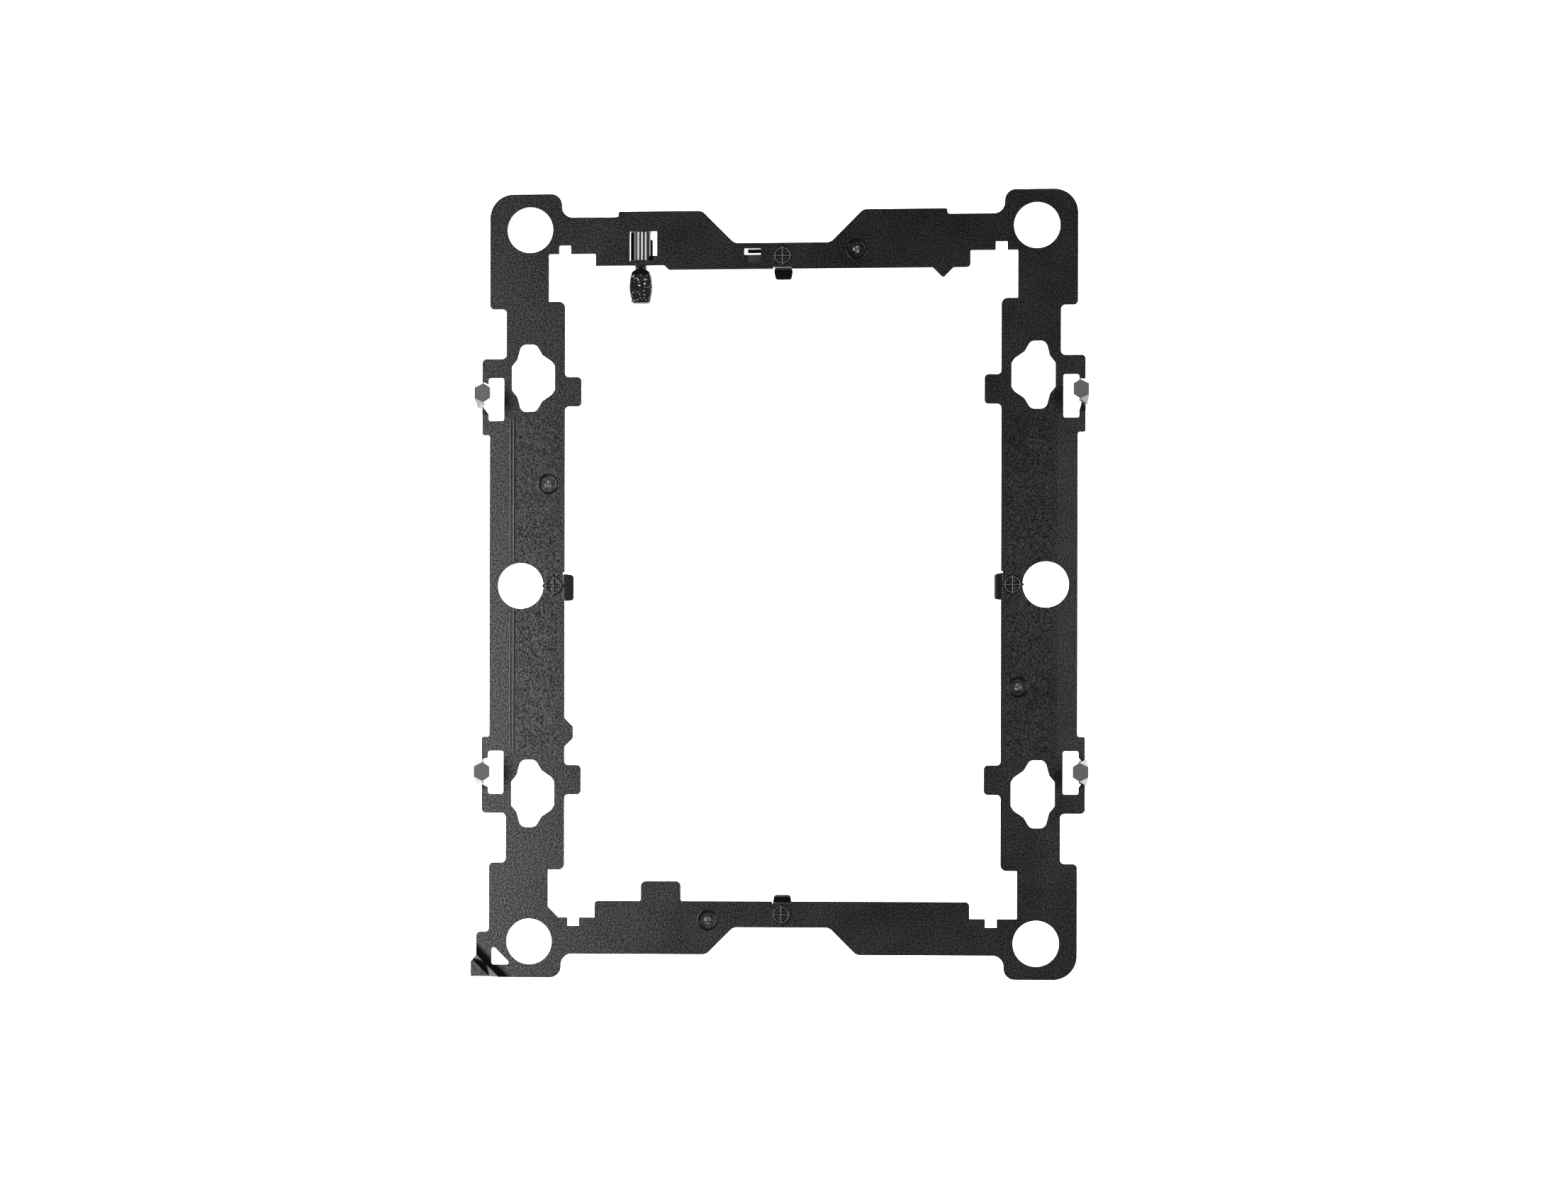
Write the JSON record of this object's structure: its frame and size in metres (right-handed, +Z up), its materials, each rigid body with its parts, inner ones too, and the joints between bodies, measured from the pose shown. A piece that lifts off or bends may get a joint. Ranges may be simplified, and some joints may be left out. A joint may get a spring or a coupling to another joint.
{
  "type": "cpu socket retention frame",
  "caption": "Flat rectangular moulded frame that carries a processor package, with hooked clips for the heat sink, package latches and a turning release lever.",
  "frame": {"origin": "centre of the four corner holes, on the top face of the plate", "axes": "+X across the short way, away from the marked corner's side; +Y along the long way, towards the lever's end; +Z up out of the plate, the way the heat sink clips point"},
  "size_m": [0.101, 0.1288, 0.0158],
  "materials": {
    "frame_plastic": "black, fine spark-eroded grain",
    "lever_plastic": "black, smooth"
  },
  "bodies": {
    "frame": {"carrier_frame": "frame_plastic"},
    "lever": {"release_lever": "lever_plastic"}
  },
  "joints": [
    {"name": "lever_hinge", "type": "hinge", "parent": "frame", "child": "lever", "pos_m": [-0.02335, 0.0557, -0.0014], "axis": [0, 1, 0], "range_deg": [0, 90]}
  ]
}
